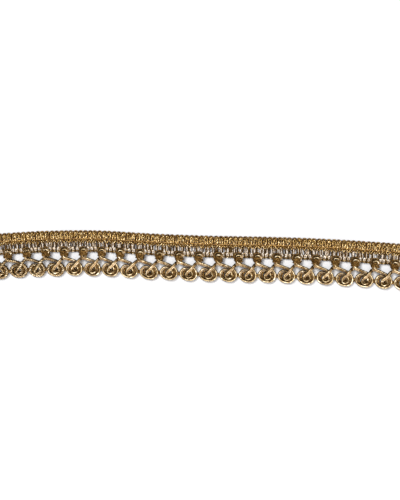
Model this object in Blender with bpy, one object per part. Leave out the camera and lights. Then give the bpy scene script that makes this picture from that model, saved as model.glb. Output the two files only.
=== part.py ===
"""A cut length of gold lace braid trim, lying flat with its face up.

It is two pieces, as the real trim is made. The lace heading is knitted in one: a dense braid of
upright stitches with a picot edge, a ladder of open rungs under it, and a lower chain. The scroll
cord is one gimp cord along the whole length. At each repeat it winds into a flat scroll, leaves it
over the top, climbs on to the lower chain, turns back there in a small loop that crosses itself,
and runs down to the next scroll.

Strip coordinates are along the trim (s), across it from the picot edge (w) and up from the
surface (z). lay() turns them into places on the surface, where the trim lies in a slow sway.
"""

import math

import bmesh
import bpy
from mathutils import Vector

MM = 0.001

# Driving dimensions
REPEATS = 23  # scrolls in the cut length, an odd number
REPEAT = 8.0 * MM  # from one scroll to the next
LENGTH = REPEATS * REPEAT
HALF = LENGTH / 2

# How the trim lies: its sway across the surface, at both ends and seven even steps between
SWAY = tuple(y * MM for y in (1.35, 2.55, 2.75, 1.45, 0.55, 0.10, -0.70, -2.10, -3.80))
SWAY_STEP = LENGTH / (len(SWAY) - 1)
MIDDLE_Y = -9.741 * MM  # brings the middle of the bounding box to the origin

# Heading: four stitches and three ladder rungs to a repeat, so it has twelve columns
STITCHES = 4
RUNGS = 3
COLUMNS = STITCHES * RUNGS
COLUMN = REPEAT / COLUMNS
PICOT = 0.3 * MM  # how far a stitch stands out at the edge
RUNG_Z = 0.45 * MM
BRAID_ROWS = (
    {"at": "picot edge", "w": 0.0, "stitch": 0.0, "dip": 0.0},
    {"at": "picot", "w": 0.55 * MM, "stitch": 1.35 * MM, "dip": 0.85 * MM},
    {"at": "stitch head", "w": 1.3 * MM, "stitch": 1.7 * MM, "dip": 1.1 * MM},
    {"at": "stitch foot", "w": 3.0 * MM, "stitch": 1.65 * MM, "dip": 1.05 * MM},
    {"at": "groove", "w": 3.6 * MM, "stitch": 0.95 * MM, "dip": 0.8 * MM},
    {"at": "narrow ridge", "w": 4.25 * MM, "stitch": 1.35 * MM, "dip": 0.95 * MM},
    {"at": "ladder", "w": 4.95 * MM},
)
CHAIN_ROWS = (
    {"at": "ladder", "w": 6.85 * MM},
    {"at": "chain", "w": 7.9 * MM, "stitch": 0.6 * MM, "dip": 0.4 * MM},
    {"at": "chain edge", "w": 9.0 * MM, "stitch": 0.0, "dip": 0.0},
)

# Scroll cord
CORD_R = 0.65 * MM
OVER_Z = 2.14 * MM  # height of the cord's middle where it crosses over itself
SIX_SIDES = 1  # bevel resolution
SCROLL_W = 16.02 * MM  # the scroll's middle, across the trim
SCROLL_S = 0.25 * MM  # and along it, from the repeat's
KNOT_S = 4.35 * MM  # from the scroll's middle along to the loop's

# Small differences from one repeat to the next
SCROLL_SIZE_SWING = 0.015
SCROLL_PLACE_SWING = 0.08 * MM
KNOT_PLACE_SWING = 0.10 * MM

# The scroll, from its upper right and clockwise inward: the turn angle, and the reach from its
# middle to the cord's
SCROLL_TURNS = (
    {"angle": 50, "reach": 3.08 * MM},
    {"angle": 14, "reach": 3.06 * MM},
    {"angle": -22, "reach": 2.92 * MM},
    {"angle": -58, "reach": 2.52 * MM},
    {"angle": -94, "reach": 2.22 * MM},
    {"angle": -130, "reach": 2.48 * MM},
    {"angle": -164, "reach": 3.04 * MM},
    {"angle": -196, "reach": 3.26 * MM},
    {"angle": -228, "reach": 2.92 * MM},
    {"angle": -254, "reach": 2.12 * MM},
    {"angle": -287, "reach": 1.54 * MM},
    {"angle": -325, "reach": 1.32 * MM},
    {"angle": -370, "reach": 1.34 * MM},
    {"angle": -415, "reach": 1.32 * MM, "rise": 0.86 * MM},
    {"angle": -460, "reach": 1.34 * MM, "rise": 1.18 * MM},
    {"angle": -505, "reach": 1.10 * MM, "rise": 0.90 * MM},
)
# Out of the scroll over its top, counted from its middle: along, across and up
LEAVING = (
    (-0.56 * MM, 15.98 * MM, 1.42 * MM),
    (-0.32 * MM, 15.36 * MM, 1.70 * MM),
    (0.22 * MM, 14.80 * MM, 2.06 * MM),
    (0.92 * MM, 14.18 * MM, OVER_Z),
    (1.75 * MM, 13.20 * MM, OVER_Z),
)
CLIMBING = ((2.45 * MM, 12.36 * MM, 1.70 * MM),)
# The loop on the lower chain, counted from the loop's middle
LOOP = (
    (-1.20 * MM, 11.66 * MM, 0.72 * MM),
    (-0.28 * MM, 11.36 * MM, CORD_R),
    (0.42 * MM, 10.96 * MM, CORD_R),
    (0.60 * MM, 10.30 * MM, 0.86 * MM),
    (0.74 * MM, 9.45 * MM, 1.28 * MM),
    (1.12 * MM, 8.65 * MM, 1.56 * MM),
    (1.04 * MM, 7.95 * MM, 1.60 * MM),
    (0.06 * MM, 7.58 * MM, 1.60 * MM),
    (-0.98 * MM, 7.92 * MM, 1.60 * MM),
    (-1.18 * MM, 8.60 * MM, 1.64 * MM),
    (-0.90 * MM, 9.45 * MM, 1.85 * MM),
    (-0.70 * MM, 10.30 * MM, 2.12 * MM),
    (-0.42 * MM, 10.96 * MM, OVER_Z),
    (0.28 * MM, 11.36 * MM, OVER_Z),
)
# Down to the next scroll, counted from the loop's middle
ARRIVING = (
    (1.20 * MM, 11.66 * MM, 1.90 * MM),
    (2.10 * MM, 11.96 * MM, 1.25 * MM),
    (3.00 * MM, 12.28 * MM, 0.78 * MM),
    (4.30 * MM, 12.76 * MM, CORD_R),
)
# The cord's two cut ends, counted from the first and the last scroll's middle
FIRST_END = (
    (-3.85 * MM, 10.85 * MM, CORD_R),
    (-2.30 * MM, 11.60 * MM, CORD_R),
    (-0.70 * MM, 12.25 * MM, CORD_R),
    (0.65 * MM, 12.76 * MM, CORD_R),
)
LAST_END = (
    (3.00 * MM, 11.75 * MM, 1.30 * MM),
    (3.95 * MM, 11.10 * MM, CORD_R),
)

# Finish
SMOOTH_BELOW = math.radians(50)
HEADING_GOLD = {"base": (0.42, 0.27, 0.10, 1.0), "metallic": 0.7, "roughness": 0.42}
CORD_GOLD = {"base": (0.55, 0.40, 0.20, 1.0), "metallic": 0.7, "roughness": 0.38}


def clear_scene():
    for obj in list(bpy.data.objects):
        bpy.data.objects.remove(obj)


def metallic_yarn(name, look):
    material = bpy.data.materials.new(name)
    material.use_nodes = True
    shader = material.node_tree.nodes["Principled BSDF"]
    shader.inputs["Base Color"].default_value = look["base"]
    shader.inputs["Metallic"].default_value = look["metallic"]
    shader.inputs["Roughness"].default_value = look["roughness"]
    return material


def add_object(name, data, material):
    data.materials.append(material)
    obj = bpy.data.objects.new(name, data)
    bpy.context.scene.collection.objects.link(obj)


def sway(s):
    """The sway at a place along the trim, on a smooth curve through the SWAY values."""
    last = len(SWAY) - 1
    i = min(max(math.floor((s + HALF) / SWAY_STEP), 0), last - 1)
    t = (s + HALF) / SWAY_STEP - i
    a, b = SWAY[i], SWAY[i + 1]
    rise_a = (b - SWAY[max(i - 1, 0)]) / 2
    rise_b = (SWAY[min(i + 2, last)] - a) / 2
    eased = t * t * (3 - 2 * t)
    return a + (b - a) * eased + rise_a * t * (1 - t) ** 2 - rise_b * t * t * (1 - t)


def lay(s, w, z):
    """Strip coordinates to a place on the surface."""
    turn = math.atan((sway(s + MM) - sway(s - MM)) / (2 * MM))
    return Vector((s + w * math.sin(turn), sway(s) - w * math.cos(turn) - MIDDLE_Y, z))


def swing(repeat, kind):
    """Values from -1 to 1 in no visible order, one for each repeat and kind of difference."""
    return math.sin(2.4 * repeat + 1.7 * kind + 0.9 * math.sin(1.3 * repeat * kind))


def on_stitch(column):
    return column % RUNGS != 0


def is_rung(column):
    return (column + 3) % (COLUMNS // RUNGS) == 0


def across(row, column):
    dips_in = row["at"] == "picot edge" and not on_stitch(column)
    return row["w"] + (PICOT if dips_in else 0.0)


def height(row, column):
    if row["at"] == "ladder":
        return RUNG_Z if is_rung(column) or is_rung(column - 1) else 0.0
    return row["stitch"] if on_stitch(column) else row["dip"]


class Knitting:
    """A closed mesh of knitting: a shaped top over a flat underside, met in thin edges."""

    def __init__(self):
        self.bm = bmesh.new()
        self.corners = {}

    def corner(self, row, column, z):
        key = (row["w"], column, z)
        if key not in self.corners:
            place = lay(-HALF + column * COLUMN, across(row, column), z)
            self.corners[key] = self.bm.verts.new(place)
        return self.corners[key]

    def top(self, row, column):
        return self.corner(row, column, height(row, column))

    def under(self, row, column):
        return self.corner(row, column, 0.0)

    def face(self, *corners):
        """A face over the corners that differ; at a thin edge, top and underside share one."""
        distinct = list(dict.fromkeys(corners))
        if len(distinct) > 2:
            self.bm.faces.new(distinct)

    def patch(self, kind, upper, lower, column):
        self.face(
            kind(upper, column), kind(lower, column), kind(lower, column + 1), kind(upper, column + 1)
        )

    def wall(self, row, column):
        self.face(
            self.top(row, column),
            self.top(row, column + 1),
            self.under(row, column + 1),
            self.under(row, column),
        )

    def cut_end(self, rows, column):
        tops = [self.top(row, column) for row in rows]
        self.face(*tops, self.under(rows[-1], column), self.under(rows[0], column))


def knit_band(knitting, rows):
    columns = REPEATS * COLUMNS
    for column in range(columns):
        for upper, lower in zip(rows, rows[1:]):
            knitting.patch(knitting.top, upper, lower, column)
        knitting.patch(knitting.under, rows[0], rows[-1], column)
        for row in (rows[0], rows[-1]):
            if row["at"] == "ladder" and not is_rung(column):
                knitting.wall(row, column)
    knitting.cut_end(rows, 0)
    knitting.cut_end(rows, columns)


def knit_rungs(knitting):
    """The rungs from the braid to the lower chain, with a hole cut through between each two."""
    upper, lower = BRAID_ROWS[-1], CHAIN_ROWS[0]
    for column in filter(is_rung, range(REPEATS * COLUMNS)):
        knitting.patch(knitting.top, upper, lower, column)
        knitting.patch(knitting.under, upper, lower, column)
        for side in (column, column + 1):
            knitting.face(
                knitting.top(upper, side),
                knitting.top(lower, side),
                knitting.under(lower, side),
                knitting.under(upper, side),
            )


def lace_heading():
    knitting = Knitting()
    knit_band(knitting, BRAID_ROWS)
    knit_band(knitting, CHAIN_ROWS)
    knit_rungs(knitting)
    bmesh.ops.recalc_face_normals(knitting.bm, faces=knitting.bm.faces)
    mesh = bpy.data.meshes.new("lace_heading")
    knitting.bm.to_mesh(mesh)
    knitting.bm.free()
    mesh.shade_smooth()
    mesh.set_sharp_from_angle(angle=SMOOTH_BELOW)
    add_object("lace_heading", mesh, metallic_yarn("gold braid yarn", HEADING_GOLD))


def scroll_places(repeat):
    """The places round one scroll, from its upper right to its heart."""
    size = 1 + SCROLL_SIZE_SWING * swing(repeat, 1)
    middle_w = SCROLL_W + SCROLL_PLACE_SWING * swing(repeat, 2)
    places = []
    for turn in SCROLL_TURNS:
        angle, reach = math.radians(turn["angle"]), turn["reach"] * size
        s = repeat * REPEAT + SCROLL_S + reach * math.cos(angle)
        z = CORD_R + turn.get("rise", 0.0)
        places.append((s, middle_w - reach * math.sin(angle), z))
    return places


def shifted(places, along):
    return [(along + s, w, z) for s, w, z in places]


def cord_route():
    """The places that the cord's middle passes, in strip coordinates, from left to right."""
    last = REPEATS // 2
    route = shifted(FIRST_END, -last * REPEAT)
    for repeat in range(-last, last + 1):
        along = repeat * REPEAT
        route += scroll_places(repeat) + shifted(LEAVING, along)
        if repeat < last:
            knot = along + KNOT_S + KNOT_PLACE_SWING * swing(repeat, 3)
            route += shifted(CLIMBING, along) + shifted(LOOP + ARRIVING, knot)
    return route + shifted(LAST_END, last * REPEAT)


def scroll_cord():
    places = [lay(*place) for place in cord_route()]
    curve = bpy.data.curves.new("scroll_cord", "CURVE")
    curve.dimensions = "3D"
    curve.bevel_depth = CORD_R
    curve.bevel_resolution = SIX_SIDES
    curve.use_fill_caps = True
    spline = curve.splines.new("POLY")
    spline.points.add(len(places) - 1)
    for point, place in zip(spline.points, places):
        point.co = (*place, 1.0)
    spline.use_smooth = True
    add_object("scroll_cord", curve, metallic_yarn("gold gimp cord", CORD_GOLD))


def main():
    clear_scene()
    lace_heading()
    scroll_cord()


main()
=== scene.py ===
"""The yarns of a gold lace braid trim: a gimp cord wound in scrolls under a knitted heading.

Strip coordinates are along the trim (s), across it from the picot edge (w) and up from the
surface (z), in metres. lay() turns them into places on the surface, where the trim lies in a
slow sway. The cord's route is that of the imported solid, a little higher, because the plies of the
real cord stand out further than the solid's plain tube.
"""

import math

import bmesh
import bpy
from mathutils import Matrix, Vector


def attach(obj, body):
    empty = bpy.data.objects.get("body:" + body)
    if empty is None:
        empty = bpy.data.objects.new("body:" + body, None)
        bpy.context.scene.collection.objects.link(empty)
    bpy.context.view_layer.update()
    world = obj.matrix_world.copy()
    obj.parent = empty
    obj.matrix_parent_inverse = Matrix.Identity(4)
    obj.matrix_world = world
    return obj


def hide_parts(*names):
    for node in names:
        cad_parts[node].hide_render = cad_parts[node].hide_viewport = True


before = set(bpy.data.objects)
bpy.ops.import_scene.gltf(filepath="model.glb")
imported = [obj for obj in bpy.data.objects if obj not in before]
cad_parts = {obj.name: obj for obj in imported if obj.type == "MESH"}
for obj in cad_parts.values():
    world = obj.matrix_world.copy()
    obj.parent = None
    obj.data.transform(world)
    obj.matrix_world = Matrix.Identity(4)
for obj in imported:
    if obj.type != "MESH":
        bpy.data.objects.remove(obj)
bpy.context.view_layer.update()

bl_info = {
    "name": "Lace Braid Trim",
    "version": (1, 0, 0),
    "blender": (4, 5, 0),
    "location": "View3D > Sidebar > Lace Braid",
    "description": "Winds the cord, knits the heading and sets the stage of a lace braid trim",
    "category": "Add Mesh",
}

MM = 0.001

# The cut length and how it lies, as in the solids
REPEATS = 23
LAST_REPEAT = REPEATS // 2  # counted from the middle one, which is 0
REPEAT = 8.0 * MM
LENGTH = REPEATS * REPEAT
HALF = LENGTH / 2
SWAY = tuple(y * MM for y in (1.35, 2.55, 2.75, 1.45, 0.55, 0.10, -0.70, -2.10, -3.80))
SWAY_STEP = LENGTH / (len(SWAY) - 1)
MIDDLE_Y = -9.741 * MM  # puts the middle of the solids' box at the origin

# The cord's route, from left to right: along the trim, across it and up
CORD_R = 0.75 * MM
OVER_Z = 2.38 * MM  # the height of a strand that crosses over another
SCROLL_W = 16.02 * MM
SCROLL_S = 0.25 * MM  # the middle of a scroll, from its repeat's middle
KNOT_S = 4.35 * MM  # the middle of the loop after it, from the same place
SCROLL_SIZE_SWING = 0.015
SCROLL_PLACE_SWING = 0.08 * MM
KNOT_PLACE_SWING = 0.10 * MM
# Round a scroll, clockwise from its upper right to its heart: the angle in degrees, how far out
# from the scroll's middle, and near the end how far the cord rises to lie over itself
SCROLL_TURNS = (
    {"angle": 50, "reach": 3.08 * MM},
    {"angle": 14, "reach": 3.06 * MM},
    {"angle": -22, "reach": 2.92 * MM},
    {"angle": -58, "reach": 2.52 * MM},
    {"angle": -94, "reach": 2.22 * MM},
    {"angle": -130, "reach": 2.48 * MM},
    {"angle": -164, "reach": 3.04 * MM},
    {"angle": -196, "reach": 3.26 * MM},
    {"angle": -228, "reach": 2.92 * MM},
    {"angle": -254, "reach": 2.12 * MM},
    {"angle": -287, "reach": 1.54 * MM},
    {"angle": -325, "reach": 1.32 * MM},
    {"angle": -370, "reach": 1.34 * MM},
    {"angle": -415, "reach": 1.32 * MM, "rise": 0.86 * MM},
    {"angle": -460, "reach": 1.34 * MM, "rise": 1.20 * MM},
    {"angle": -505, "reach": 1.10 * MM, "rise": 0.92 * MM},
)
# Out of the heart on the diagonal, over the top of the scroll
LEAVING = (
    (-0.56 * MM, 15.98 * MM, 1.52 * MM),
    (-0.32 * MM, 15.36 * MM, 1.82 * MM),
    (0.22 * MM, 14.80 * MM, 2.24 * MM),
    (0.92 * MM, 14.18 * MM, OVER_Z),
    (1.75 * MM, 13.20 * MM, OVER_Z),
)
CLIMBING = ((2.45 * MM, 12.36 * MM, 1.85 * MM),)
# Round the loop at the chain, which crosses itself, and down to the next scroll. These places
# are counted from the knot.
LOOP = (
    (-1.20 * MM, 11.66 * MM, 0.80 * MM),
    (-0.28 * MM, 11.36 * MM, CORD_R),
    (0.42 * MM, 10.96 * MM, CORD_R),
    (0.60 * MM, 10.30 * MM, 0.92 * MM),
    (0.74 * MM, 9.45 * MM, 1.40 * MM),
    (1.12 * MM, 8.65 * MM, 1.65 * MM),
    (1.04 * MM, 7.95 * MM, 1.74 * MM),
    (0.06 * MM, 7.58 * MM, 1.76 * MM),
    (-0.98 * MM, 7.92 * MM, 1.76 * MM),
    (-1.18 * MM, 8.60 * MM, 1.82 * MM),
    (-0.90 * MM, 9.45 * MM, 2.05 * MM),
    (-0.70 * MM, 10.30 * MM, OVER_Z),
    (-0.42 * MM, 10.96 * MM, OVER_Z),
    (0.28 * MM, 11.36 * MM, OVER_Z),
)
ARRIVING = (
    (1.20 * MM, 11.66 * MM, 2.10 * MM),
    (2.10 * MM, 11.96 * MM, 1.35 * MM),
    (3.00 * MM, 12.28 * MM, 0.88 * MM),
    (4.30 * MM, 12.76 * MM, CORD_R),
)
# The plain cut ends, counted from the first and the last repeat's middle
FIRST_END = (
    (-3.85 * MM, 10.85 * MM, CORD_R),
    (-2.30 * MM, 11.60 * MM, CORD_R),
    (-0.70 * MM, 12.25 * MM, CORD_R),
    (0.65 * MM, 12.76 * MM, CORD_R),
)
LAST_END = (
    (2.90 * MM, 11.90 * MM, 1.35 * MM),
    (3.85 * MM, 11.20 * MM, CORD_R),
)

# The ground of the heading: rows across it, and its height on and between stitches
COLUMNS = 12  # to a repeat
RUNG_COLUMNS = (2, 6, 10)
GROUND_THICK = 0.25 * MM
GROUND_ROWS = (
    {"w": 0.35 * MM, "on": 0.55 * MM, "off": 0.40 * MM},
    {"w": 0.90 * MM, "on": 0.85 * MM, "off": 0.60 * MM},
    {"w": 1.80 * MM, "on": 0.90 * MM, "off": 0.60 * MM},
    {"w": 2.80 * MM, "on": 0.90 * MM, "off": 0.60 * MM},
    {"w": 3.60 * MM, "on": 0.70 * MM, "off": 0.60 * MM},
    {"w": 4.30 * MM, "on": 0.90 * MM, "off": 0.75 * MM},
    {"w": 4.90 * MM, "on": 0.60 * MM, "off": 0.50 * MM},
    {"w": 6.90 * MM, "on": 0.40 * MM, "off": 0.36 * MM},
    {"w": 7.80 * MM, "on": 0.50 * MM, "off": 0.40 * MM},
    {"w": 8.85 * MM, "on": 0.36 * MM, "off": 0.34 * MM},
)
LADDER_ROW = 6  # the row that the ladder starts from
DIP_COLUMNS = 3  # the ground lies lower at every third column, between two stitches

# The cord's build
CORD_STEP = 0.23 * MM
OUTLINE_POINTS = 18
PLY_SHARE = 0.54  # a ply's radius in the cord's

# Yarns of the heading: along from each stitch's middle, across the trim and up, in millimetres
STITCH = 2.0 * MM
PICOT = (
    (-0.70, 1.30, 0.75),
    (-0.84, 0.76, 0.98),
    (-0.54, 0.34, 1.02),
    (0.00, 0.19, 1.02),
    (0.54, 0.34, 1.02),
    (0.84, 0.76, 0.98),
    (0.70, 1.30, 0.75),
)
UPRIGHT = (
    (-0.36, 3.62, 0.85),
    (-0.54, 3.00, 1.36),
    (-0.58, 1.95, 1.52),
    (-0.44, 1.12, 1.46),
    (0.00, 0.80, 1.38),
    (0.44, 1.12, 1.46),
    (0.58, 1.95, 1.52),
    (0.54, 3.00, 1.36),
    (0.36, 3.62, 0.85),
)
HEART = (
    (-0.20, 3.40, 1.00),
    (0.14, 2.85, 1.28),
    (-0.12, 2.20, 1.20),
    (0.16, 1.60, 1.28),
    (-0.10, 1.25, 1.05),
)
RIDGE_BEAD = (
    (-0.42, 4.98, 0.80),
    (-0.24, 4.62, 1.26),
    (0.14, 4.16, 1.36),
    (0.42, 3.78, 0.95),
)
CHAIN_BEAD = (
    (-0.34, 7.60, 0.60),
    (-0.30, 7.10, 0.80),
    (0.08, 6.86, 0.86),
    (0.38, 7.20, 0.80),
    (0.28, 7.66, 0.62),
)
# The loops of the lower chain and the dark yarn that darkens the gaps between them, counted
# from the knot
CHAIN_LOOPS = (1.75, 3.38, 5.12)
CHAIN_DARKS = (2.55, 4.25, 5.95)
CHAIN_LOOP = (
    (-0.26, 8.15, 0.50),
    (-0.30, 7.75, 0.78),
    (-0.24, 7.20, 1.06),
    (0.00, 6.90, 1.12),
    (0.24, 7.20, 1.06),
    (0.30, 7.75, 0.78),
    (0.26, 8.15, 0.50),
)
CHAIN_FOOT = (
    (-0.30, 8.00, 0.50),
    (-0.36, 8.45, 0.74),
    (-0.10, 8.84, 0.70),
    (0.22, 8.60, 0.78),
    (0.26, 8.05, 0.60),
)
CHAIN_DARK = (
    (0.00, 7.10, 0.70),
    (0.05, 8.00, 0.72),
    (0.00, 8.98, 0.44),
)
# The thread that ties the cord's loop to the chain, round the loop's left side and top. Its
# dark yarn is painted shade along that side of the loop.
TIE = (
    (-0.98, 10.70, 0.70),
    (-1.42, 10.00, 0.80),
    (-1.82, 9.45, 0.85),
    (-2.08, 8.85, 0.92),
    (-2.06, 8.15, 1.05),
    (-1.68, 7.38, 1.20),
    (-0.95, 6.88, 1.28),
    (0.05, 6.72, 1.25),
    (0.95, 6.95, 1.10),
)
# The strands of the ladder: how far from the knot each stands, in millimetres, and their shape
PALE_STRANDS = (0.30, 1.05, 2.13, 3.10, 3.75, 4.95, 6.02, 6.70, 7.50)
# The dark strands darken the ladder's holes
DARK_STRANDS = (0.68, 1.50, 1.82, 2.46, 2.76, 3.44, 4.34, 4.64, 5.26, 5.60, 6.36, 7.10, 7.92)
STRAND = (
    (0.00, 4.70, 0.90),
    (0.02, 5.15, 0.70),
    (0.05, 5.90, 0.56),
    (0.02, 6.70, 0.60),
    (0.00, 7.15, 0.74),
)
# Stitches inside each loop of the cord: where across the trim each lies, and half its length.
# Their dark yarn fills the loop and paints the shade inside it.
KNOT_FILL = ((8.75, 0.52), (9.15, 0.62), (9.55, 0.72), (9.95, 0.62), (10.35, 0.52))
KNOT_SLANT = 0.12  # how far its ends lie to either side of that, by turns this way and that
KNOT_STITCH = ((-1.0, 0.75), (-0.4, 1.25), (0.4, 1.25), (1.0, 0.75))  # share of the half, and up
# Turns of dark thread over the neck of each loop, which also paint the shade on the loop's
# legs: where across each lies, and its way over the cord. rise is how much higher it lies there
# for each millimetre across, as the cord climbs.
NECK_TURNS = (8.68, 9.08, 9.48, 9.88, 10.28)
NECK_TURN = (
    {"s": -1.70, "z": 0.90},
    {"s": -1.68, "z": 2.10},
    {"s": -1.25, "z": 2.72, "rise": 0.25},
    {"s": -0.60, "z": 2.95, "rise": 0.25},
    {"s": 0.10, "z": 2.72},
    {"s": 0.80, "z": 2.35},
    {"s": 1.38, "z": 1.75},
    {"s": 1.50, "z": 0.90},
)
BEAD = 1.0 * MM  # from one bead of the ridge or the chain to the next
# The two threads of the groove: where across and how high, and how far they wave
GROOVE = {"w": 3.42 * MM, "wave": 0.14 * MM, "z": 0.98 * MM, "rise": 0.12 * MM}
WAVE_PLACES = 4  # to each wave
# How far the stitches differ: shift along and rise in millimetres, and lean as millimetres
# along for each one across. turned_below is the swing under which a bead slants the other way.
UPRIGHT_SWINGS = {"shift": 0.12, "lean": 0.14, "rise": 0.10, "heart_lean": 0.10}
RIDGE_SWINGS = {"shift": 0.06, "rise": 0.05, "turned_below": -0.3}
STRAND_SWINGS = {"shift": 0.12, "lean": 0.14, "rise": 0.08}
BEAD_SWINGS = {"shift": 0.10, "lean": 0.08, "rise": 0.10}
NECK_SWINGS = {"shift": 0.20, "rise": 0.15}
LEAN_ABOUT = 2.0  # where across, in millimetres, a leaning stitch stays in place
BRAID_STEP = 0.26 * MM
LADDER_STEP = 0.30 * MM
END_CLEAR = 0.2 * MM  # no strand or loop stands nearer than this to a cut end
# The pieces knitted on the ground: their yarn, its share of the knitting yarn's thickness, and
# how many sides it is drawn with
HEADING_PIECES = {
    # The picot edge and the knot stitches take the darker brown yarn as painted shade
    "picot_edge": {"yarn": "brown", "share": 1.0, "sides": 6},
    "upright_stitches": {"yarn": "gold", "share": 1.15, "sides": 8},
    "ridge_beads": {"yarn": "gold", "share": 1.1, "sides": 6},
    "groove_thread": {"yarn": "brown", "share": 0.8, "sides": 6},
    "ladder_pale_strands": {"yarn": "pale", "share": 0.9, "sides": 6},
    "ladder_dark_strands": {"yarn": "dark", "share": 1.0, "sides": 6},
    "chain_loops": {"yarn": "pale", "share": 1.2, "sides": 6},
    "chain_dark_strands": {"yarn": "dark", "share": 1.2, "sides": 6},
    "chain_gilt_beads": {"yarn": "gold", "share": 0.9, "sides": 6},
    "knot_stitches": {"yarn": "brown", "share": 1.0, "sides": 6},
    "neck_turns": {"yarn": "binding", "share": 1.0, "sides": 6},
}

# The thread that holds the scrolls: two runs low between the turns of each, from an angle in
# degrees, and two short stitches where each scroll meets the next. Its dark is painted shade in
# the gaps between the turns, in each heart and where the scrolls meet.
SCROLL_BINDS = (
    {"radius": 2.05 * MM, "from": 60, "z": 0.50 * MM},
    {"radius": 0.18 * MM, "from": 0, "z": 0.95 * MM},
)
BIND_TURN = 300  # degrees
BIND_PLACES = 12
BIND_STEP = 0.4 * MM
BIND_RADIUS = 0.42 * MM
SCROLL_JOIN = {
    "sides": (-0.2 * MM, 0.2 * MM),
    "across": (15.2 * MM, 15.7 * MM, 16.2 * MM, 16.7 * MM),
    "z": 0.62 * MM,
}

# The yarns. Each is metallised film, or viscose that shines, wound on a core. Its tones
# differ at random, for the film's wear, and its brightest tones are painted glints. wraps is how
# many turns of film a run has, drawn coarser than the real ones so that they show, and patch the
# size of a patch of wear and glint.
YARNS = {
    # Pale gold film lapped over a cotton core and laid up in plies: a broad, broken gloss
    "gimp": {
        "name": "wrapped pale gold gimp yarn",
        "tones": ("#6E5A3C", "#8E7A58", "#B09C74", "#E6DAC2"),
        "metallic": 1.0,
        "roughness": 0.33,
        "wraps": 4800,
        "patch": 1.1 * MM,
    },
    # Twisted viscose with little film, dull and dark: painted shade between the bright turns of
    # the cord and on the loops' necks
    "binding": {
        "name": "dark brown viscose binding thread",
        "tones": ("#3A260C", "#684A20", "#A07E48"),
        "metallic": 0.5,
        "roughness": 0.45,
        "wraps": 10,
    },
    # Bronzed viscose, the knitted ground, whose dark is also painted shade in the depth between
    # the stitches, with hardly a glint
    "ground": {
        "name": "dark bronze knitted ground yarn",
        "tones": ("#2A1A08", "#5A3C16", "#7A5624"),
        "metallic": 0.5,
        "roughness": 0.5,
        "wraps": 20,
    },
    # Yellow gold film: the sharpest glints of the trim, one on each stitch
    "gold": {
        "name": "yellow gold film knitting yarn",
        "tones": ("#34220A", "#6E5222", "#AE8C4A", "#F2DEB0"),
        "metallic": 0.95,
        "roughness": 0.24,
        "wraps": 24,
    },
    # Gold film, browner and darker, with softer glints than the new film's: painted shade at the
    # picot edge and round the cord's loops
    "brown": {
        "name": "worn brown film edge yarn",
        "tones": ("#4A3210", "#86602A", "#B89858"),
        "metallic": 0.85,
        "roughness": 0.32,
        "wraps": 16,
    },
    # Bright viscose: nearly white where it faces the light, and hardly metallic
    "pale": {
        "name": "pale champagne viscose chain yarn",
        "tones": ("#86683E", "#D8C2A4", "#FAEEE0", "#FFFCF6"),
        "metallic": 0.2,
        "roughness": 0.26,
        "wraps": 16,
    },
    # Dull viscose: flat dark lines that set off the pale ones, and darken the ladder's holes and
    # the gaps between the chain's loops
    "dark": {
        "name": "dark olive viscose ladder yarn",
        "tones": ("#2A1C08", "#4A3618", "#665030"),
        "metallic": 0.4,
        "roughness": 0.55,
        "wraps": 12,
    },
}
TONES_FROM, TONES_TO = 0.34, 0.66  # the noise where the darkest and the brightest tone lie
WRAP_RISE = 0.03 * MM
WRAP_STRENGTH = 0.6
GROOVE_SHADE_TONE = "#644620"  # painted shade in the grooves between the plies of the cord
GROOVE_SHADE_FROM, GROOVE_SHADE_TO = -0.95, 0.2  # the painted shade gives way to the film's tone between these heights of a ply
LACQUERED = 0.6  # yarns more metallic than this have a clear lacquer over the metal
LACQUER = {"Coat Weight": 0.6, "Specular IOR Level": 0.5, "Coat Roughness": 0.2}
BARE = {"Coat Weight": 0.0, "Specular IOR Level": 0.15, "Coat Roughness": 0.2}

# Where the light comes from: the key is soft and from the upper left, and the bright side of
# the room that the yarn reflects is at the lower right
KEY_FROM = (-0.42, 0.52, 0.9)
KEY_SOFTNESS = math.radians(22)
ROOM_TONE = "#F6F6FA"
GLOSS_FROM = (0.30, -0.58, 0.76)
# What the yarn reflects of the room, from the side opposite that one (0) to that one (1)
GLOSS_STOPS = (
    (0.28, "#0E0B07"),
    (0.50, "#29241B"),
    (0.70, "#4E4940"),
    (0.82, "#7A756C"),
    (0.92, "#C4C0BB"),
    (0.98, "#EFEDEA"),
)
# The paper under the trim, and the camera, which sees it as the photo does
PAPER_TONE = "#F6F6F6"
PAPER_HALF = 2.0
PAPER_Z = -0.03 * MM
CAMERA_TARGET = (-3.69 * MM, 4.37 * MM, 0.0)
CAMERA_CLIP = (0.01, 10.0)
SENSOR_WIDTH = 36.0


def sway(s):
    """The sway at a place along the trim, on a smooth curve through the SWAY values."""
    last = len(SWAY) - 1
    i = min(max(math.floor((s + HALF) / SWAY_STEP), 0), last - 1)
    t = (s + HALF) / SWAY_STEP - i
    a, b = SWAY[i], SWAY[i + 1]
    rise_a = (b - SWAY[max(i - 1, 0)]) / 2
    rise_b = (SWAY[min(i + 2, last)] - a) / 2
    eased = t * t * (3 - 2 * t)
    return a + (b - a) * eased + rise_a * t * (1 - t) ** 2 - rise_b * t * t * (1 - t)


def lay(s, w, z):
    """Strip coordinates to a place on the surface."""
    turn = math.atan((sway(s + MM) - sway(s - MM)) / (2 * MM))
    return Vector((s + w * math.sin(turn), sway(s) - w * math.cos(turn) - MIDDLE_Y, z))


def swing(repeat, kind):
    """Values from -1 to 1 in no visible order, one for each repeat and kind of difference."""
    return math.sin(2.4 * repeat + 1.7 * kind + 0.9 * math.sin(1.3 * repeat * kind))


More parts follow.
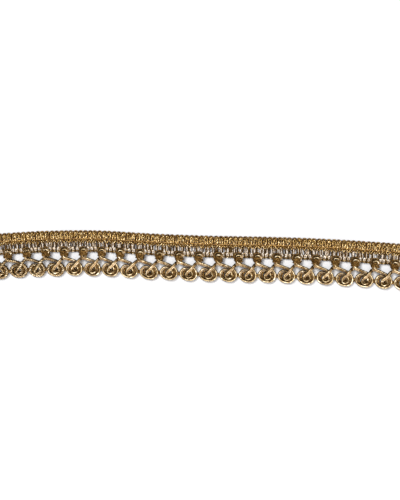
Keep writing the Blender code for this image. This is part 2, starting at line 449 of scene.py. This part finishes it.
def scroll_places(repeat):
    """The places round one scroll, from its upper right to its heart."""
    size = 1 + SCROLL_SIZE_SWING * swing(repeat, 1)
    middle_w = SCROLL_W + SCROLL_PLACE_SWING * swing(repeat, 2)
    places = []
    for turn in SCROLL_TURNS:
        angle, reach = math.radians(turn["angle"]), turn["reach"] * size
        s = repeat * REPEAT + SCROLL_S + reach * math.cos(angle)
        z = CORD_R + turn.get("rise", 0.0)
        places.append((s, middle_w - reach * math.sin(angle), z))
    return places


def shifted(places, along):
    """The same places, moved along the trim."""
    return [(along + s, w, z) for s, w, z in places]


def knot_place(repeat):
    """Where along the trim the knot after a scroll stands."""
    return repeat * REPEAT + KNOT_S + KNOT_PLACE_SWING * swing(repeat, 3)


def cord_route():
    """The places that the cord's middle passes, in strip coordinates, from left to right."""
    route = shifted(FIRST_END, -LAST_REPEAT * REPEAT)
    for repeat in range(-LAST_REPEAT, LAST_REPEAT + 1):
        along = repeat * REPEAT
        route += scroll_places(repeat) + shifted(LEAVING, along)
        if repeat < LAST_REPEAT:
            route += shifted(CLIMBING, along) + shifted(LOOP + ARRIVING, knot_place(repeat))
    return route + shifted(LAST_END, LAST_REPEAT * REPEAT)


def smooth_run(places, step):
    """Places about a step apart on a smooth curve through the given ones."""
    gaps = [(b - a).length for a, b in zip(places, places[1:])]
    slopes = []
    for i in range(len(places)):
        if i == 0:
            slopes.append((places[1] - places[0]) / gaps[0])
        elif i == len(places) - 1:
            slopes.append((places[-1] - places[-2]) / gaps[-1])
        else:
            before = (places[i] - places[i - 1]) / gaps[i - 1]
            after = (places[i + 1] - places[i]) / gaps[i]
            slopes.append((before * gaps[i] + after * gaps[i - 1]) / (gaps[i - 1] + gaps[i]))
    run = []
    for i, gap in enumerate(gaps):
        count = max(round(gap / step), 1)
        for k in range(count):
            t = k / count
            a, b = places[i], places[i + 1]
            place = a * (1 + 2 * t) * (1 - t) ** 2 + b * t * t * (3 - 2 * t)
            place += slopes[i] * gap * t * (1 - t) ** 2 - slopes[i + 1] * gap * t * t * (1 - t)
            run.append(place)
    run.append(places[-1].copy())
    return run


def ply_outline(thickness, plies, points):
    """The outline of plies that are laid up and pressed together, all round the cord."""
    ply_r = thickness / 2 * PLY_SHARE
    off = thickness / 2 - ply_r
    outline = []
    for i in range(points):
        angle = math.tau * i / points
        apart = (angle + math.pi / plies) % (math.tau / plies) - math.pi / plies
        reach = off * math.cos(apart) + math.sqrt(ply_r**2 - (off * math.sin(apart)) ** 2)
        outline.append(Vector((reach * math.cos(angle), reach * math.sin(angle), 0.0)))
    return outline


def linear(hex_colour):
    """An sRGB hex colour as linear red, green, blue and alpha."""
    parts = [int(hex_colour[i : i + 2], 16) / 255 for i in (1, 3, 5)]
    return (*(c / 12.92 if c <= 0.04045 else ((c + 0.055) / 1.055) ** 2.4 for c in parts), 1.0)


def add_node(owner, kind, settings=None, values=None, links=None):
    """A new node of a material or a world, with its settings, input values and links."""
    tree = owner.node_tree
    node = tree.nodes.new(kind)
    for name, value in (settings or {}).items():
        setattr(node, name, value)
    for name, value in (values or {}).items():
        node.inputs[name].default_value = value
    for name, socket in (links or {}).items():
        tree.links.new(socket, node.inputs[name])
    return node


def set_stops(ramp, stops):
    """Sets a colour ramp's stops, each a position and an sRGB hex colour."""
    elements = ramp.color_ramp.elements
    while len(elements) < len(stops):
        elements.new(0.5)
    for element, (position, colour) in zip(elements, stops):
        element.position = position
        element.color = linear(colour)


def metallised_yarn(name, tones, metallic, roughness, wraps, patch=0.6 * MM, plies=0):
    """A yarn of thin metallised film wound on a core, which glints where a wrap faces a light.

    Noise in its tone is the film's wear, and painted glints where a patch is brightest.
    Between the plies of a laid cord, painted shade darkens the grooves, whatever the light.
    """
    material = bpy.data.materials.new(name)
    material.use_nodes = True
    tree = material.node_tree
    shader = tree.nodes["Principled BSDF"]
    place = add_node(material, "ShaderNodeTexCoord")
    # Random patches of tone: the film's wear, with painted glints where a patch is brightest
    patches = add_node(
        material,
        "ShaderNodeTexNoise",
        values={"Scale": 1 / patch, "Detail": 2.0, "Roughness": 0.6},
        links={"Vector": place.outputs["Object"]},
    )
    ramp = add_node(material, "ShaderNodeValToRGB", links={"Fac": patches.outputs["Fac"]})
    apart = (TONES_TO - TONES_FROM) / (len(tones) - 1)
    set_stops(ramp, [(TONES_FROM + apart * i, tone) for i, tone in enumerate(tones)])
    # Turns of the film, drawn as shallow steps round the yarn: U runs along it and V round it
    uv = add_node(material, "ShaderNodeSeparateXYZ", links={0: place.outputs["UV"]})
    round_it = add_node(
        material,
        "ShaderNodeMath",
        {"operation": "MULTIPLY"},
        {1: math.tau},
        {0: uv.outputs["Y"]},
    )
    turns = add_node(
        material,
        "ShaderNodeMath",
        {"operation": "MULTIPLY_ADD"},
        {1: math.tau * wraps},
        {0: uv.outputs["X"], 2: round_it.outputs[0]},
    )
    wave = add_node(material, "ShaderNodeMath", {"operation": "SINE"}, links={0: turns.outputs[0]})
    bump = add_node(
        material,
        "ShaderNodeBump",
        values={"Strength": WRAP_STRENGTH, "Distance": WRAP_RISE},
        links={"Height": wave.outputs[0]},
    )
    colour = ramp.outputs["Color"]
    if plies:
        # Painted shade: the tone darkens towards each groove between the plies, whatever the light
        crests = add_node(
            material,
            "ShaderNodeMath",
            {"operation": "MULTIPLY"},
            {1: math.tau * plies},
            {0: uv.outputs["Y"]},
        )
        crest = add_node(
            material, "ShaderNodeMath", {"operation": "COSINE"}, links={0: crests.outputs[0]}
        )
        painted_shade = add_node(
            material,
            "ShaderNodeMapRange",
            values={"From Min": GROOVE_SHADE_FROM, "From Max": GROOVE_SHADE_TO},
            links={"Value": crest.outputs[0]},
        )
        film = add_node(
            material,
            "ShaderNodeMixRGB",
            values={"Color1": linear(GROOVE_SHADE_TONE)},
            links={"Fac": painted_shade.outputs[0], "Color2": colour},
        )
        colour = film.outputs["Color"]
    tree.links.new(colour, shader.inputs["Base Color"])
    tree.links.new(bump.outputs["Normal"], shader.inputs["Normal"])
    shader.inputs["Metallic"].default_value = metallic
    shader.inputs["Roughness"].default_value = roughness
    for socket, value in (LACQUER if metallic > LACQUERED else BARE).items():
        shader.inputs[socket].default_value = value
    return material


def yarn(kind, **more):
    """The material of one kind of yarn, made when a piece first needs it."""
    values = YARNS[kind]
    return bpy.data.materials.get(values["name"]) or metallised_yarn(**values, **more)


def link(name, mesh, material):
    """Links a mesh as one piece of the trim, at the origin, with its material."""
    mesh.name = name
    mesh.materials.clear()
    mesh.materials.append(material)
    piece = bpy.data.objects.new(name, mesh)
    bpy.context.scene.collection.objects.link(piece)
    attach(piece, "root")
    return piece


def draw_curve(name, runs):
    """A curve of one open spline for each run of places."""
    curve = bpy.data.curves.new(name, "CURVE")
    curve.dimensions = "3D"
    curve.use_fill_caps = True
    for run in runs:
        spline = curve.splines.new("POLY")
        spline.points.add(len(run) - 1)
        for point, place in zip(spline.points, run):
            point.co = (*place, 1.0)
        spline.use_smooth = True
    return curve


def curve_mesh(name, curve):
    """The mesh of a curve, with its UV map along and round it."""
    drawn = bpy.data.objects.new(name, curve)
    bpy.context.scene.collection.objects.link(drawn)
    depsgraph = bpy.context.evaluated_depsgraph_get()
    mesh = bpy.data.meshes.new_from_object(drawn.evaluated_get(depsgraph))
    bpy.data.objects.remove(drawn)
    bpy.data.curves.remove(curve)
    mesh.shade_smooth()
    return mesh


def yarn_piece(name, runs, radius, sides, material):
    """Links one piece of many yarns. Each run is the places that a yarn's middle passes."""
    curve = draw_curve(name, runs)
    curve.bevel_depth = radius
    curve.bevel_resolution = sides // 2 - 2
    link(name, curve_mesh(name, curve), material)


def stitched(shape, along, step, shift=0.0, lean=0.0, rise=0.0, mirror=1):
    """A yarn's run from a stitch's shape in millimetres, at a place along the trim.

    Its shift, lean and rise are in millimetres too. Nothing passes the cut ends.
    """
    places = []
    for s, w, z in shape:
        out = along + (mirror * s + shift + lean * (LEAN_ABOUT - w)) * MM
        places.append(lay(min(max(out, -HALF), HALF), w * MM, (z + rise) * MM))
    return smooth_run(places, step)


def stitch_row(pitch):
    """The middle of each stitch of a row along the whole trim, with its index."""
    return [(i, -HALF + pitch * (i + 0.5)) for i in range(round(LENGTH / pitch))]


def knit_piece(context, name, runs):
    """Links one of the HEADING_PIECES, made of the given runs of yarn."""
    piece = HEADING_PIECES[name]
    radius = context.scene.lace_heading.yarn_thickness / 2 * piece["share"]
    yarn_piece(name, runs, radius, piece["sides"], yarn(piece["yarn"]))


def wind_cord(context):
    """The gimp cord on its route, with its plies laid up in a twist."""
    cord = context.scene.lace_cord
    run = smooth_run([lay(*place) for place in cord_route()], CORD_STEP)
    outline = bpy.data.curves.new("cord_outline", "CURVE")
    spline = outline.splines.new("POLY")
    places = ply_outline(cord.thickness, cord.plies, OUTLINE_POINTS)
    spline.points.add(len(places) - 1)
    for point, place in zip(spline.points, places):
        point.co = (*place, 1.0)
    spline.use_cyclic_u = True
    holder = bpy.data.objects.new("cord_outline", outline)
    curve = draw_curve("scroll_cord", [run])
    curve.twist_mode = "Z_UP"
    curve.bevel_mode = "OBJECT"
    curve.bevel_object = holder
    along = 0.0
    for i, point in enumerate(curve.splines[0].points):
        point.tilt = math.tau * along / cord.twist
        along += (run[min(i + 1, len(run) - 1)] - run[i]).length
    mesh = curve_mesh("gimp_scroll_cord", curve)
    bpy.data.objects.remove(holder)
    bpy.data.curves.remove(outline)
    gimp = yarn("gimp", plies=cord.plies)
    piece = link("gimp_scroll_cord", mesh, gimp)
    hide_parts("scroll_cord")


def bind_scrolls():
    """The dark thread low between the turns of each scroll, and from each scroll to the next, as
    painted shade in those gaps.
    """
    binds = []
    for repeat in range(-LAST_REPEAT, LAST_REPEAT + 1):
        middle_s = repeat * REPEAT + SCROLL_S
        middle_w = SCROLL_W + SCROLL_PLACE_SWING * swing(repeat, 2)
        for bind in SCROLL_BINDS:
            places = []
            for k in range(BIND_PLACES + 1):
                angle = math.radians(bind["from"] - BIND_TURN * k / BIND_PLACES)
                s = middle_s + bind["radius"] * math.cos(angle)
                places.append(lay(s, middle_w - bind["radius"] * math.sin(angle), bind["z"]))
            binds.append(smooth_run(places, BIND_STEP))
        if repeat < LAST_REPEAT:
            for side in SCROLL_JOIN["sides"]:
                s = middle_s + REPEAT / 2 + side
                run = [lay(s, w, SCROLL_JOIN["z"]) for w in SCROLL_JOIN["across"]]
                binds.append(smooth_run(run, BIND_STEP))
    yarn_piece("scroll_binding_shade", binds, BIND_RADIUS, 6, yarn("binding"))


def knit_ground():
    """The ground under the heading's stitches, with the ladder's holes left open."""
    columns, rows = REPEATS * COLUMNS, len(GROUND_ROWS) - 1
    bm = bmesh.new()
    bmesh.ops.create_grid(bm, x_segments=columns, y_segments=rows, size=0.5)
    open_faces = []
    for face in bm.faces:
        middle = face.calc_center_median()
        column = math.floor((middle.x + 0.5) * columns)
        row = math.floor((0.5 - middle.y) * rows)
        if row == LADDER_ROW and column % COLUMNS not in RUNG_COLUMNS:
            open_faces.append(face)
    bmesh.ops.delete(bm, geom=open_faces, context="FACES_ONLY")
    for vert in bm.verts:
        column = round((vert.co.x + 0.5) * columns)
        row = GROUND_ROWS[round((0.5 - vert.co.y) * rows)]
        z = row["off"] if column % DIP_COLUMNS == 0 else row["on"]
        vert.co = lay(-HALF + column * REPEAT / COLUMNS, row["w"], z)
    mesh = bpy.data.meshes.new("heading_ground")
    bm.to_mesh(mesh)
    bm.free()
    mesh.shade_smooth()
    # Its dark yarn paints the shade in the pits between the stitches
    ground = link("heading_ground", mesh, yarn("ground"))
    solidify = ground.modifiers.new("thickness", "SOLIDIFY")
    solidify.thickness = GROUND_THICK
    solidify.offset = -1
    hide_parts("lace_heading")


def knit_braid(context):
    """The picot edge, the upright stitches with their hearts, the groove and the narrow ridge."""
    edge, upright, heart, beads, groove = [], [], [], [], []
    swings = UPRIGHT_SWINGS
    for i, along in stitch_row(STITCH):
        shift, lean = swings["shift"] * swing(i, 1), swings["lean"] * swing(i, 2)
        rise, heart_lean = swings["rise"] * swing(i, 3), swings["heart_lean"] * swing(i, 7)
        way = 1 if swing(i, 5) > 0 else -1
        edge.append(stitched(PICOT, along, BRAID_STEP, shift, 0, rise))
        upright.append(stitched(UPRIGHT, along, BRAID_STEP, shift, lean, rise))
        heart.append(stitched(HEART, along, BRAID_STEP, shift, heart_lean, rise, way))
    swings = RIDGE_SWINGS
    for i, along in stitch_row(BEAD):
        way = 1 if swing(i, 4) > swings["turned_below"] else -1
        shift, rise = swings["shift"] * swing(i, 5), swings["rise"] * swing(i, 6)
        beads.append(stitched(RIDGE_BEAD, along, BRAID_STEP, shift, 0, rise, way))
    count = round(LENGTH / STITCH * WAVE_PLACES)
    for phase in (0.0, 0.5):
        wavy = []
        for i in range(count + 1):
            turn = math.tau * (i / WAVE_PLACES + phase)
            w = GROOVE["w"] + GROOVE["wave"] * math.sin(turn)
            z = GROOVE["z"] + GROOVE["rise"] * math.cos(turn)
            wavy.append(lay(-HALF + LENGTH * i / count, w, z))
        groove.append(smooth_run(wavy, BRAID_STEP))
    knit_piece(context, "picot_edge", edge)
    knit_piece(context, "upright_stitches", upright + heart)
    knit_piece(context, "ridge_beads", beads)
    knit_piece(context, "groove_thread", groove)


def work_ladder(context):
    """The strands of the ladder, and the loops, bars and beads of the lower chain."""
    pales, darks, loops, bars, gilt = [], [], [], [], []
    swings = STRAND_SWINGS
    for repeat in range(-LAST_REPEAT - 1, LAST_REPEAT + 1):
        knot = repeat * REPEAT + KNOT_S
        for group, shape, runs in (
            (PALE_STRANDS, STRAND, pales),
            (DARK_STRANDS, STRAND, darks),
            (CHAIN_LOOPS, CHAIN_LOOP, loops),
            (CHAIN_DARKS, CHAIN_DARK, bars),
            (CHAIN_LOOPS, CHAIN_FOOT, gilt),
        ):
            for k, across in enumerate(group):
                along = knot + across * MM
                if abs(along) < HALF - END_CLEAR:
                    kind = swing(repeat * 7 + k, 7)
                    shift, rise = swings["shift"] * kind, swings["rise"] * kind
                    lean = swings["lean"] * swing(repeat * 5 + k, 3) if shape is STRAND else 0.0
                    runs.append(stitched(shape, along, LADDER_STEP, shift, lean, rise))
    swings = BEAD_SWINGS
    for i, along in stitch_row(BEAD):
        way = 1 if swing(i, 8) > 0 else -1
        shift, lean = swings["shift"] * swing(i, 9), swings["lean"] * swing(i, 2)
        rise = swings["rise"] * swing(i, 4)
        gilt.append(stitched(CHAIN_BEAD, along, LADDER_STEP, shift, lean, rise, way))
    knit_piece(context, "ladder_pale_strands", pales)
    knit_piece(context, "ladder_dark_strands", darks)
    knit_piece(context, "chain_loops", loops)
    knit_piece(context, "chain_dark_strands", bars)
    knit_piece(context, "chain_gilt_beads", gilt)


def tie_knots(context):
    """The thread that ties each loop of the cord to the chain, and its turns over the neck."""
    fills, necks = [], []
    for repeat in range(-LAST_REPEAT, LAST_REPEAT):
        knot = knot_place(repeat)
        fills.append(stitched(TIE, knot, LADDER_STEP))
        for k, (w, half) in enumerate(KNOT_FILL):
            slant = KNOT_SLANT if k % 2 else -KNOT_SLANT
            shape = [(share * half, w + share * slant, z) for share, z in KNOT_STITCH]
            fills.append(stitched(shape, knot, LADDER_STEP))
        # Dark turns over the neck, painting the shade on the loop's legs
        for k, w in enumerate(NECK_TURNS):
            up = w - NECK_TURNS[0]
            shape = [(at["s"], w, at["z"] + at.get("rise", 0.0) * up) for at in NECK_TURN]
            shift = NECK_SWINGS["shift"] * swing(5 * repeat + k, 6)
            rise = NECK_SWINGS["rise"] * swing(3 * repeat + k, 5)
            necks.append(stitched(shape, knot, LADDER_STEP, shift, 0.0, rise))
    knit_piece(context, "knot_stitches", fills)
    knit_piece(context, "neck_turns", necks)


def light_room(scene, stage):
    """A room that is evenly white to the cloth, and has one bright side for the yarn's gloss."""
    room = bpy.data.worlds.new("studio")
    room.use_nodes = True
    tree = room.node_tree
    way = add_node(room, "ShaderNodeTexCoord")
    toward = add_node(
        room,
        "ShaderNodeVectorMath",
        {"operation": "DOT_PRODUCT"},
        {1: Vector(GLOSS_FROM).normalized()},
        {0: way.outputs["Generated"]},
    )
    share = add_node(
        room,
        "ShaderNodeMath",
        {"operation": "MULTIPLY_ADD"},
        {1: 0.5, 2: 0.5},
        {0: toward.outputs["Value"]},
    )
    ramp = add_node(room, "ShaderNodeValToRGB", links={"Fac": share.outputs[0]})
    set_stops(ramp, GLOSS_STOPS)
    gloss = add_node(
        room,
        "ShaderNodeBackground",
        values={"Strength": stage.gloss_light},
        links={"Color": ramp.outputs["Color"]},
    )
    even = tree.nodes["Background"]
    even.inputs["Color"].default_value = linear(ROOM_TONE)
    even.inputs["Strength"].default_value = stage.room_light
    path = add_node(room, "ShaderNodeLightPath")
    mixed = add_node(
        room,
        "ShaderNodeMixShader",
        links={0: path.outputs["Is Glossy Ray"], 1: even.outputs[0], 2: gloss.outputs[0]},
    )
    tree.links.new(mixed.outputs[0], tree.nodes["World Output"].inputs["Surface"])
    # The room isn't sampled as a lamp, so that each kind of ray sees its own side of the mix
    room.cycles.sampling_method = "NONE"
    scene.world = room


def lay_paper(scene):
    """The matt white paper under the trim, which the yarn doesn't reflect."""
    bm = bmesh.new()
    bmesh.ops.create_grid(bm, x_segments=1, y_segments=1, size=PAPER_HALF)
    mesh = bpy.data.meshes.new("floor")
    bm.to_mesh(mesh)
    bm.free()
    paper = bpy.data.materials.new("matt white paper")
    paper.use_nodes = True
    shader = paper.node_tree.nodes["Principled BSDF"]
    shader.inputs["Base Color"].default_value = linear(PAPER_TONE)
    shader.inputs["Roughness"].default_value = 0.9
    shader.inputs["Specular IOR Level"].default_value = 0.1
    mesh.materials.append(paper)
    floor = bpy.data.objects.new("floor", mesh)
    floor.location.z = PAPER_Z
    floor.visible_glossy = False
    scene.collection.objects.link(floor)


def add_camera(scene, stage):
    """A camera above the trim, a little to its right, turned back towards its target."""
    side = stage.camera_side
    camera = bpy.data.cameras.new("camera")
    camera.sensor_fit = "HORIZONTAL"
    camera.sensor_width = SENSOR_WIDTH
    camera.lens = stage.lens
    camera.clip_start, camera.clip_end = CAMERA_CLIP
    holder = bpy.data.objects.new("camera", camera)
    holder.rotation_euler = (0.0, side, 0.0)
    away = Vector((math.sin(side), 0.0, math.cos(side))) * stage.camera_distance
    holder.location = Vector(CAMERA_TARGET) + away
    scene.collection.objects.link(holder)
    scene.camera = holder


def add_key(scene, stage):
    """The soft key, which lights the yarn but leaves its gloss to the room."""
    key = bpy.data.lights.new("key", "SUN")
    key.energy = stage.key_light
    key.angle = KEY_SOFTNESS
    holder = bpy.data.objects.new("key", key)
    holder.rotation_euler = Vector(KEY_FROM).to_track_quat("Z", "Y").to_euler()
    holder.visible_glossy = False
    scene.collection.objects.link(holder)


def set_stage(context):
    """The paper, the room, the camera and the key, with colours shown as they are lit."""
    scene = context.scene
    stage = scene.lace_stage
    scene.view_settings.view_transform = "Standard"
    scene.view_settings.look = "None"
    lay_paper(scene)
    light_room(scene, stage)
    add_camera(scene, stage)
    add_key(scene, stage)


class LaceCordSettings(bpy.types.PropertyGroup):
    """How the gimp cord is laid up"""

    thickness: bpy.props.FloatProperty(
        name="Thickness", description="Thickness of the gimp cord", default=1.52 * MM, unit="LENGTH"
    )
    twist: bpy.props.FloatProperty(
        name="Twist", description="Length of one turn of the plies", default=2.8 * MM, unit="LENGTH"
    )
    plies: bpy.props.IntProperty(name="Plies", description="Plies in the cord", default=3, min=1)


class LaceHeadingSettings(bpy.types.PropertyGroup):
    """The yarn that the heading is knitted of"""

    yarn_thickness: bpy.props.FloatProperty(
        name="Yarn", description="Thickness of the knitting yarn", default=0.44 * MM, unit="LENGTH"
    )


class LaceStageSettings(bpy.types.PropertyGroup):
    """The camera and the lights"""

    camera_distance: bpy.props.FloatProperty(
        name="Camera distance", description="From the trim to the camera", default=0.42, unit="LENGTH"
    )
    camera_side: bpy.props.FloatProperty(
        name="Camera side",
        description="How far the camera stands to the right of straight above",
        default=math.radians(3.4),
        unit="ROTATION",
    )
    lens: bpy.props.FloatProperty(name="Lens", description="Focal length in mm", default=91.97)
    room_light: bpy.props.FloatProperty(
        name="Room light", description="Even white light of the room", default=0.76
    )
    key_light: bpy.props.FloatProperty(
        name="Key light", description="Soft light from the upper left", default=2.2
    )
    gloss_light: bpy.props.FloatProperty(
        name="Gloss light", description="Bright side of the room, seen in the yarn", default=6.8
    )


class LACE_OT_wind_cord(bpy.types.Operator):
    """Wind the gimp cord into its row of scrolls"""

    bl_idname = "lace.wind_cord"
    bl_label = "Wind the cord"

    def execute(self, context):
        wind_cord(context)
        return {"FINISHED"}


class LACE_OT_bind_scrolls(bpy.types.Operator):
    """Bind the turns of each scroll, and each scroll to the next"""

    bl_idname = "lace.bind_scrolls"
    bl_label = "Bind the scrolls"

    def execute(self, context):
        bind_scrolls()
        return {"FINISHED"}


class LACE_OT_knit_ground(bpy.types.Operator):
    """Knit the ground of the heading, with the ladder's holes"""

    bl_idname = "lace.knit_ground"
    bl_label = "Knit the ground"

    def execute(self, context):
        knit_ground()
        return {"FINISHED"}


class LACE_OT_knit_braid(bpy.types.Operator):
    """Knit the dense braid: its picot edge, stitches, groove and ridge"""

    bl_idname = "lace.knit_braid"
    bl_label = "Knit the braid"

    def execute(self, context):
        knit_braid(context)
        return {"FINISHED"}


class LACE_OT_work_ladder(bpy.types.Operator):
    """Work the ladder and the lower chain"""

    bl_idname = "lace.work_ladder"
    bl_label = "Work the ladder"

    def execute(self, context):
        work_ladder(context)
        return {"FINISHED"}


class LACE_OT_tie_knots(bpy.types.Operator):
    """Tie the cord's loops to the chain, and wind turns over their necks"""

    bl_idname = "lace.tie_knots"
    bl_label = "Tie the knots"

    def execute(self, context):
        tie_knots(context)
        return {"FINISHED"}


class LACE_OT_set_stage(bpy.types.Operator):
    """Set the floor, the lights and the camera"""

    bl_idname = "lace.set_stage"
    bl_label = "Set the stage"

    def execute(self, context):
        set_stage(context)
        return {"FINISHED"}


OPERATORS = (
    LACE_OT_wind_cord,
    LACE_OT_bind_scrolls,
    LACE_OT_knit_ground,
    LACE_OT_knit_braid,
    LACE_OT_work_ladder,
    LACE_OT_tie_knots,
    LACE_OT_set_stage,
)
SETTINGS = {
    "lace_cord": LaceCordSettings,
    "lace_heading": LaceHeadingSettings,
    "lace_stage": LaceStageSettings,
}


class LACE_PT_panel(bpy.types.Panel):
    """The trim's settings, and a button for each group of pieces"""

    bl_idname = "LACE_PT_panel"
    bl_label = "Lace braid trim"
    bl_space_type = "VIEW_3D"
    bl_region_type = "UI"
    bl_category = "Lace Braid"

    def draw(self, context):
        for name, settings in SETTINGS.items():
            group = getattr(context.scene, name)
            for prop in settings.__annotations__:
                self.layout.prop(group, prop)
        for operator in OPERATORS:
            self.layout.operator(operator.bl_idname)


def register():
    """Registers the settings, the operators and the panel."""
    for settings in SETTINGS.values():
        bpy.utils.register_class(settings)
    for name, settings in SETTINGS.items():
        setattr(bpy.types.Scene, name, bpy.props.PointerProperty(type=settings))
    for operator in OPERATORS:
        bpy.utils.register_class(operator)
    bpy.utils.register_class(LACE_PT_panel)


def unregister():
    """Takes them out again, in reverse."""
    bpy.utils.unregister_class(LACE_PT_panel)
    for operator in reversed(OPERATORS):
        bpy.utils.unregister_class(operator)
    for name, settings in reversed(SETTINGS.items()):
        delattr(bpy.types.Scene, name)
        bpy.utils.unregister_class(settings)


def main():
    """Makes the whole trim on its stage."""
    register()
    bpy.ops.lace.wind_cord()
    bpy.ops.lace.bind_scrolls()
    bpy.ops.lace.knit_ground()
    bpy.ops.lace.knit_braid()
    bpy.ops.lace.work_ladder()
    bpy.ops.lace.tie_knots()
    bpy.ops.lace.set_stage()


if __name__ == "__main__":
    main()
